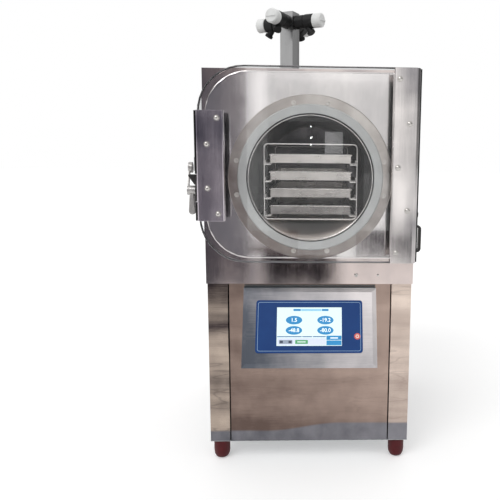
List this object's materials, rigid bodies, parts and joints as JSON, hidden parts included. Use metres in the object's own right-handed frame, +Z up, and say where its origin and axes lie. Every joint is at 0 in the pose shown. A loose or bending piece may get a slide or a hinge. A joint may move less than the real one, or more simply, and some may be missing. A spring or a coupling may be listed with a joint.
{
  "type": "freeze dryer",
  "caption": "Floor-standing laboratory freeze dryer: round vacuum chamber behind a clear hinged door, tray rack, touch-screen console and a flask manifold on the roof.",
  "frame": {"origin": "middle of the bounding box's footprint, on the floor under the feet", "axes": "+Z up, the door and console face -Y, +X is the door's hinge side"},
  "size_m": [0.6698, 0.7848, 1.384],
  "materials": {
    "stainless": "polished stainless sheet, warm grey",
    "polished_steel": "bright polished stainless",
    "bright_chrome": "bright chrome",
    "galvanised_steel": "galvanised sheet",
    "coil_aluminium": "bare aluminium fins",
    "foot_rubber": "near-black maroon moulded rubber",
    "valve_rubber": "black moulded rubber",
    "cap_plastic": "white moulded plastic, semi-gloss",
    "seal_silicone": "pale translucent silicone",
    "clear_acrylic": "clear polished acrylic plate",
    "bezel_film": "deep blue printed film, semi-gloss",
    "display_glass": null,
    "black_plastic": "black moulded plastic",
    "black_paint": "black powder coat",
    "jacket_foam": "black closed-cell foam"
  },
  "bodies": {
    "root": {"foot_front_left": "foot_rubber", "foot_front_right": "foot_rubber", "foot_rear_left": "foot_rubber", "foot_rear_right": "foot_rubber", "base_pan": "galvanised_steel", "post_front_left": "stainless", "post_front_right": "stainless", "post_rear_left": "stainless", "post_rear_right": "stainless", "lower_front_panel": "stainless", "lower_side_panel_left": "stainless", "lower_side_panel_right": "stainless", "lower_rear_panel": "stainless", "mid_deck": "galvanised_steel", "upper_shell": "stainless", "upper_front_panel": "stainless", "upper_rear_panel": "stainless", "front_fascia": "stainless", "chamber_drum": "polished_steel", "chamber_insulation": "jacket_foam", "chamber_flange": "stainless", "door_gasket": "seal_silicone", "shelf_rack": "polished_steel", "tray_1": "polished_steel", "tray_2": "polished_steel", "tray_3": "polished_steel", "tray_4": "polished_steel", "hinge_bracket_lower": "stainless", "hinge_bracket_upper": "stainless", "hinge_rod": "bright_chrome", "latch_keeper": "bright_chrome", "console_housing": "stainless", "console_bezel": "bezel_film", "console_display": "display_glass", "console_module": "black_plastic", "side_handle": "black_plastic", "vent_valve": "galvanised_steel", "manifold_column": "stainless", "manifold_base": "stainless", "valve_body_1": "valve_rubber", "valve_body_2": "valve_rubber", "valve_body_3": "valve_rubber", "valve_body_4": "valve_rubber", "vacuum_port": "polished_steel", "power_inlet": "black_plastic", "condenser": "coil_aluminium", "fan_shroud": "black_paint", "compressor": "black_paint", "electrical_box": "galvanised_steel"},
    "door": {"door_window": "clear_acrylic", "hinge_channel": "stainless", "latch_channel": "stainless", "latch_base": "black_plastic"},
    "latch": {"latch_lever": "bright_chrome"},
    "valve_1": {"valve_cap_1": "cap_plastic"},
    "valve_2": {"valve_cap_2": "cap_plastic"},
    "valve_3": {"valve_cap_3": "cap_plastic"},
    "valve_4": {"valve_cap_4": "cap_plastic"},
    "vent": {"vent_knob": "black_plastic"},
    "fan": {"fan_rotor": "black_plastic"}
  },
  "joints": [
    {"name": "door_hinge", "type": "hinge", "parent": "root", "child": "door", "pos_m": [0.2981, -0.3096, 0.8955], "axis": [0, 0, 1], "range_deg": [0, 105]},
    {"name": "latch_pivot", "type": "hinge", "parent": "door", "child": "latch", "pos_m": [-0.3224, -0.3654, 0.829], "axis": [-1, 0, 0], "range_deg": [0, 90]},
    {"name": "valve_1_turn", "type": "hinge", "parent": "root", "child": "valve_1", "pos_m": [-0.0729, 0.0024, 1.352], "axis": [0.891, -0.454, 0], "range_deg": [0, 180]},
    {"name": "valve_2_turn", "type": "hinge", "parent": "root", "child": "valve_2", "pos_m": [-0.0729, 0.0024, 1.352], "axis": [0.454, 0.891, 0], "range_deg": [0, 180]},
    {"name": "valve_3_turn", "type": "hinge", "parent": "root", "child": "valve_3", "pos_m": [-0.0729, 0.0024, 1.352], "axis": [-0.891, 0.454, 0], "range_deg": [0, 180]},
    {"name": "valve_4_turn", "type": "hinge", "parent": "root", "child": "valve_4", "pos_m": [-0.0729, 0.0024, 1.352], "axis": [-0.454, -0.891, 0], "range_deg": [0, 180]},
    {"name": "vent_turn", "type": "hinge", "parent": "root", "child": "vent", "pos_m": [0.3101, -0.2656, 0.756], "axis": [1, 0, 0], "range_deg": [0, 270]},
    {"name": "fan_spin", "type": "hinge", "parent": "root", "child": "fan", "pos_m": [-0.0009, 0.267, 0.2173], "axis": [0, 1, 0], "continuous": true}
  ]
}
